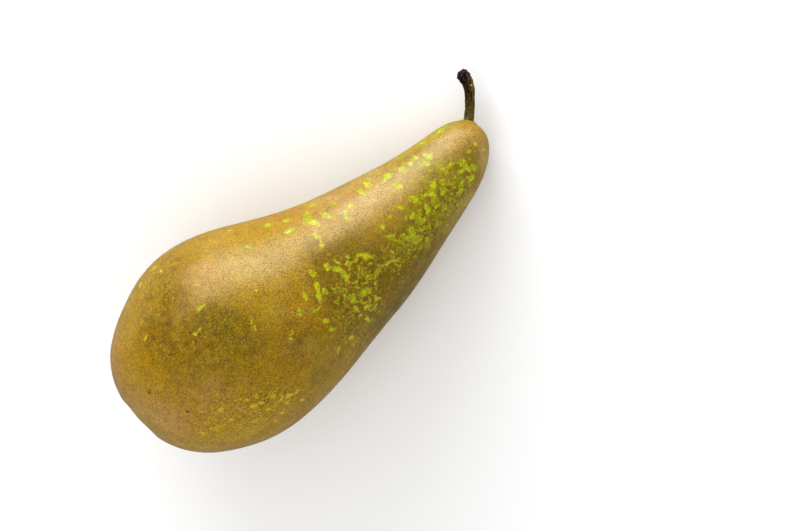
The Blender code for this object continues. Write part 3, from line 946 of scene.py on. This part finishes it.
def addLime(tree, own, colour, tone):
    near = times(tree, field(tree, "limeNear"), 0.85)
    # dark olive round the lime, partly the skin's own colour and partly painted shade, with less of it where
    # the sheen is painted
    near = timesPlus(tree, field(tree, "paintedSheen"), -0.5, near, clamp=True)
    shady = uneven(tree, own, skinLook["shady"])
    colour = cover(tree, colour, times(tree, near, shady, clamp=True), skinLook["darkOliveAndShade"])
    haze = times(tree, uneven(tree, own, skinLook["hazy"]), field(tree, "haze"))
    colour = cover(tree, colour, haze, skinLook["deepLime"])
    torn = tear(tree, own, field(tree, "lime"), skinLook["limeEdge"])
    colour = cover(tree, colour, times(tree, torn["Border"], 0.35), skinLook["border"])
    deep = uneven(tree, own, skinLook["deep"])
    lime = toned(tree, cover(tree, tint(skinLook["lime"]), deep, skinLook["deepLime"]), tone)
    return mixColours(tree, times(tree, torn["Mask"], 0.93), colour, lime), torn["Mask"]


def addCurls(tree, own, colour):
    line = maths(tree, "ABSOLUTE", maths(tree, "SUBTRACT", cloud(tree, own, 1.2, 2.0), 0.5))
    thin = stretch(tree, line, 0.008, 0.03, 1.0, 0.0)
    sparse = uneven(tree, own, skinLook["sparse"])
    share = times(tree, times(tree, thin, sparse), times(tree, field(tree, "curls"), 3.0))
    patches = tear(tree, shift(tree, own, 0.02), field(tree, "curls"), skinLook["curlEdge"])
    share = maths(tree, "MAXIMUM", share, patches["Mask"])
    return cover(tree, colour, times(tree, share, 0.85, clamp=True), skinLook["yellow"])


def makeSkin():
    material, tree, shader = newMaterial("russetSkin")
    own = ownPlace(tree)
    tone = mottle(tree, own, skinLook["grain"], skinLook["blotches"])
    colour = addGrain(tree, own, skinHues(tree, own), tone)
    pores = times(tree, dots(tree, own, skinLook["pores"]), 0.48)
    bigPores = times(tree, dots(tree, shift(tree, own, 0.02), skinLook["bigPores"]), 0.6)
    allPores = maths(tree, "MAXIMUM", pores, bigPores)
    colour = cover(tree, colour, allPores, skinLook["pore"])
    colour, torn = addLime(tree, own, colour, tone)
    colour = addCurls(tree, own, colour)
    scabShare = stretch(tree, field(tree, "scabs"), 0.38, 0.55)
    scabMiddle = stretch(tree, field(tree, "scabs"), 0.62, 0.8, 0.0, 0.6)
    scabRing = maths(tree, "SUBTRACT", scabShare, scabMiddle)
    colour = cover(tree, colour, times(tree, scabRing, 0.85), skinLook["scab"])
    rough = timesPlus(tree, torn, -0.04, uneven(tree, own, skinLook["rough"]))
    height = timesPlus(tree, allPores, -0.6, tone["Height"])
    height = timesPlus(tree, torn, -0.35, height)
    height = timesPlus(tree, scabShare, 1.5, height)
    coat(tree, shader, skinLook, colour, rough, height)
    plug(tree, tint(skinLook["glossTint"]), shader.inputs["Specular Tint"])
    return material


# Calyx: a dry cup at the bottom of the eye, with curled sepals and a tuft of stamens

calyxShape = {
    # Lengths are in mm. The cup's points are distance along the fruit and radius.
    "cup": [(6.5, 1.5), (5.6, 2.2), (4.7, 2.6), (4.45, 2.5), (4.9, 2.1), (6.1, 1.2)],
    "cupSides": 30,
    "sepalLength": 3.6,
    "sepalWidths": [2.4, 2.5, 2.3, 2.0, 1.6, 1.2, 0.8, 0.35],  # from root to tip
    "sepalThickness": 0.24,
    "sepalRoot": (4.9, 2.35),  # along the fruit and off its middle
    "sepalRipple": (0.35, 1.1),  # height and size
    "sepalCurls": (50, 62, 38, 56, 44),  # degrees outwards, one sepal each
    "sepalTrough": 0.22,  # its rise in mm, one mm beside its middle line
    "firstTurn": 20,  # degrees
    "stamens": 18,
    "stamenRoot": (5.6, 1.6),
    "stamenLength": 3.1,
    "stamenThickness": 0.2,
    "stamenTaper": 0.95,  # at each step
    "stamenKnob": (2.3, 0.5),  # how much wider its knob starts, and ends after that
    "stamenBend": (0.1, 0.5),  # at its tip: for all, and by luck
    "stamenTurn": 2.4,  # radians from one to the next, so that no two lie in line
    "stamenSides": 7,
    "stamenSteps": 6,
    "knobLength": 0.3,  # of a stamen's thicker end
    "lumpSize": 0.9,
    "lumps": 0.25,
}


def drawCup():
    def middleOf(along):
        return Vector((along * mm, middleAt(0).y, 0))
    cup = drawRings("pearCalyx", calyxShape["cupSides"], calyxShape["cup"], middleOf, "NGON")
    bpy.ops.mesh.edge_face_add()
    closePiece()
    useModifier(cup, "BEVEL", width=0.2 * mm, segments=1, limit_method="ANGLE", angle_limit=math.radians(40))
    subdivide(cup, 2)
    return cup


def drawSepal():  # flat, from its root at the origin along -X, as wide as Y
    widths = calyxShape["sepalWidths"]
    step = calyxShape["sepalLength"] / (len(widths) - 1)
    deselectAll()
    bpy.ops.mesh.primitive_plane_add(size=mm)
    sepal = openPiece("sepal")
    bpy.ops.transform.resize(value=(step, widths[0], 1))
    bpy.ops.transform.translate(value=(-step / 2 * mm, 0, 0))
    for index in range(1, len(widths)):
        edge = -step * index * mm
        pickVertices(sepal, lambda place: abs(place.x - edge) < 0.1 * step * mm)
        narrow = widths[index] / widths[index - 1]
        bpy.ops.transform.resize(value=(1, narrow, 1), center_override=(edge, 0, 0))
        if index < len(widths) - 1:
            bpy.ops.mesh.extrude_edges_move(TRANSFORM_OT_translate={"value": (-step * mm, 0, 0)})
    deselectAll()
    useModifier(sepal, "SUBSURF", levels=2, render_levels=2, subdivision_type="SIMPLE")
    return sepal


def curlBlade(piece, curl, trough):  # bends a flat blade towards +Z as it goes along -X, and dishes it
    length = calyxShape["sepalLength"] * mm
    rippleHeight, rippleSize = calyxShape["sepalRipple"]
    for vertex in piece.data.vertices:
        along, side = -vertex.co.x, vertex.co.y
        angle = math.radians(curl) * along / length
        turned = math.radians(curl) / length
        dish = trough * (side / mm) ** 2 * mm
        ripple = noise.noise(Vector((along, side, curl * mm)) / (rippleSize * mm))
        ripple *= rippleHeight * mm * along / length
        rise = dish + ripple + vertex.co.z
        vertex.co.x = -math.sin(angle) / turned + rise * math.sin(angle)
        vertex.co.z = (1 - math.cos(angle)) / turned + rise * math.cos(angle)


def copyOf(piece, name):
    copy = piece.copy()
    copy.data = piece.data.copy()
    copy.name = copy.data.name = name
    bpy.context.scene.collection.objects.link(copy)
    return copy


def placeRound(piece, turn, along, off):  # turned about the fruit's length, its root off the middle
    middle = middleAt(0).y
    root = Matrix.Translation((along * mm, 0, off * mm))
    piece.matrix_world = Matrix.Translation((0, middle, 0)) @ Matrix.Rotation(turn, 4, "X") @ root
    applyPlace(piece)


def drawStamen():
    length, thickness = calyxShape["stamenLength"], calyxShape["stamenThickness"]
    stamen = openRing("stamen", calyxShape["stamenSides"], thickness / 2, fill="NGON")
    steps = calyxShape["stamenSteps"]
    knob = calyxShape["knobLength"] * mm
    taper, (wider, rounded) = calyxShape["stamenTaper"], calyxShape["stamenKnob"]
    for step in range(steps):
        end = (-(step + 1) * length / steps * mm, 0, 0)
        bpy.ops.mesh.extrude_region_move(TRANSFORM_OT_translate={"value": (-length / steps * mm, 0, 0)})
        bpy.ops.transform.resize(value=(1, taper, taper), center_override=end)
    bpy.ops.transform.resize(value=(1, wider, wider), center_override=end)
    bpy.ops.mesh.extrude_region_move(TRANSFORM_OT_translate={"value": (-knob, 0, 0)})
    bpy.ops.transform.resize(value=(1, rounded, rounded), center_override=(end[0] - knob, 0, 0))
    closePiece()
    return stamen


def buildCalyx():
    parts = [drawCup()]
    sepal = drawSepal()
    for number, curl in enumerate(calyxShape["sepalCurls"]):
        blade = copyOf(sepal, "sepal" + str(number))
        curlBlade(blade, curl, calyxShape["sepalTrough"])
        useModifier(blade, "SOLIDIFY", thickness=calyxShape["sepalThickness"] * mm, offset=0)
        subdivide(blade, 1)
        turn = math.radians(calyxShape["firstTurn"] + 360 / len(calyxShape["sepalCurls"]) * number)
        placeRound(blade, turn, *calyxShape["sepalRoot"])
        parts.append(blade)
    stamen = drawStamen()
    along, off = calyxShape["stamenRoot"]
    bend, bendByLuck = calyxShape["stamenBend"]
    for number in range(calyxShape["stamens"]):
        stalk = copyOf(stamen, "stamen" + str(number))
        luck = noise.cell(Vector((number * 1.7, 3.1, 0)))
        for vertex in stalk.data.vertices:
            reach = -vertex.co.x / (calyxShape["stamenLength"] * mm)
            vertex.co.z += (bendByLuck * luck + bend) * reach ** 2 * mm
        turn = number * calyxShape["stamenTurn"]
        placeRound(stalk, turn, along + 0.5 * luck, off * math.sqrt((number + 0.5) / calyxShape["stamens"]))
        parts.append(stalk)
    for template in (sepal, stamen):
        bpy.data.objects.remove(template)
    selectOnly(*parts)
    bpy.ops.object.join()
    calyx = bpy.context.object
    layDown(calyx)
    lumps(calyx, "calyxLumps", calyxShape["lumpSize"], calyxShape["lumps"])
    own = np.array([frameToOwn @ vertex.co for vertex in calyx.data.vertices]) / mm
    offMiddle = np.hypot(own[:, 1] - middleAt(0).y / mm, own[:, 2])
    addField(calyx, "tip", ramp(offMiddle, 2.9, 4.6))
    addField(calyx, "tuft", (1 - ramp(offMiddle, 1.6, 2.3)) * (1 - ramp(own[:, 0], 4.4, 5.4)))
    return calyx


calyxLook = {
    "grain": (0.2, 1.2),  # mm and strength
    "blotches": (1.2, 1.0),
    "wornEdge": (0.8, 1.2, 0.08),  # mm, how torn, how soft
    "patchy": (0, 1.1, 3.0, 0.5, 0.42, 0.62, 0.0, 1.0),  # as uneven takes it
    "roughness": (0.75, 0.55),
    "specular": 0.5,
    "bump": (0.5, 0.08),  # strength, mm
    "dark": (0.012, 0.007, 0.005),
    "brown": (0.105, 0.052, 0.020),
    "edge": (0.24, 0.13, 0.05),
    "tuft": (0.10, 0.05, 0.018),
}


def makeDryCalyx():
    material, tree, shader = newMaterial("dryCalyx")
    own = ownPlace(tree)
    tone = mottle(tree, own, calyxLook["grain"], calyxLook["blotches"])
    colour = cover(tree, tint(calyxLook["dark"]), uneven(tree, own, calyxLook["patchy"]), calyxLook["brown"])
    colour = cover(tree, colour, field(tree, "tuft"), calyxLook["tuft"])
    wear = timesPlus(tree, field(tree, "tip"), 0.35, 0.2)
    worn = tear(tree, own, wear, calyxLook["wornEdge"])["Mask"]
    colour = cover(tree, colour, times(tree, worn, 0.8), calyxLook["edge"])
    rough = stretch(tree, tone["Height"], 0.3, 0.7, *calyxLook["roughness"])
    coat(tree, shader, calyxLook, toned(tree, colour, tone), rough, tone["Height"])
    return material


# Floor, lights and camera

studio = {
    "floorSize": 20.0,
    "floorColour": (0.96, 0.96, 0.96),
    "floorInSkin": (0.32, 0.32, 0.32),  # as the skin mirrors it
    "grain": (0.8, 0.01),  # of the floor, mm and strength
    "blotches": (60, 0.01),
    "roughness": 0.9,
    "ambient": 0.84,
    "lightAim": (0, 0, 0.03),
    # degrees off the camera, degrees from the picture's top to its left, metres away, width, height, watts
    "softboxes": {
        "key": (70, 19, 0.6, 0.46, 0.44, 3.9),
        "back": (87, 0, 0.5, 0.60, 0.20, 2.0),
        "fill": (60, 150, 1.2, 1.20, 1.20, 3.2),
    },
}


def addFloor():
    deselectAll()
    bpy.ops.mesh.primitive_plane_add(size=studio["floorSize"])
    floor = namePiece("floor")
    material, tree, shader = newMaterial("floorPaper")
    coordinates = addNode(tree, "TexCoord").outputs["Object"]
    tone = mottle(tree, coordinates, studio["grain"], studio["blotches"])
    mirrored = addNode(tree, "LightPath").outputs["Is Glossy Ray"]
    colour = cover(tree, tint(studio["floorColour"]), mirrored, studio["floorInSkin"])
    plugAll(tree, shader, {"Base Color": toned(tree, colour, tone), "Roughness": studio["roughness"]})
    floor.data.materials.append(material)


def addRoomLight():
    world = bpy.data.worlds.new("studio")
    world.use_nodes = True
    tree = world.node_tree
    plugAll(tree, tree.nodes["Background"], {"Color": tint((1, 1, 1)), "Strength": studio["ambient"]})
    world.cycles_visibility.glossy = False  # so that only the softboxes and the floor shine in the skin
    bpy.context.scene.world = world


def addSoftbox(name, offCamera, leftwards, distance, width, height, power):
    off, around = math.radians(offCamera), math.radians(leftwards)
    outwards = pictureUp * math.cos(around) - pictureRight * math.sin(around)
    way = toCamera * math.cos(off) + outwards * math.sin(off)
    data = bpy.data.lights.new(name, "AREA")
    data.shape = "RECTANGLE"
    data.size, data.size_y = width, height
    data.energy = power
    lamp = bpy.data.objects.new(name, data)
    lamp.visible_glossy = name != "fill"
    bpy.context.scene.collection.objects.link(lamp)
    lamp.location = Vector(studio["lightAim"]) + way * distance
    lamp.rotation_euler = way.to_track_quat("Z", "Y").to_euler()


def addCamera():
    data = bpy.data.cameras.new("camera")
    data.sensor_width = photo["sensor"]
    data.lens = photo["sensor"] * photo["distance"] / (photo["width"] * pixel)
    data.clip_start = 0.05
    camera = bpy.data.objects.new("camera", data)
    bpy.context.scene.collection.objects.link(camera)
    turned = Matrix((pictureRight, pictureUp, toCamera)).transposed().to_4x4()
    camera.matrix_world = Matrix.Translation(cameraPlace) @ turned
    bpy.context.scene.camera = camera


fruit = buildFruit()
paintFruit(fruit)
fruit.data.materials.append(makeSkin())
finishPiece(fruit, "fruit")

stem = buildStem()
paintStem(stem)
stem.data.materials.append(makeBark())
finishPiece(stem, "stem")

calyx = buildCalyx()
calyx.data.materials.append(makeDryCalyx())
finishPiece(calyx, "calyx")

addFloor()
addRoomLight()
for name, settings in studio["softboxes"].items():
    addSoftbox(name, *settings)
addCamera()
bpy.context.scene.view_settings.view_transform = "Standard"
print("studio and camera set")
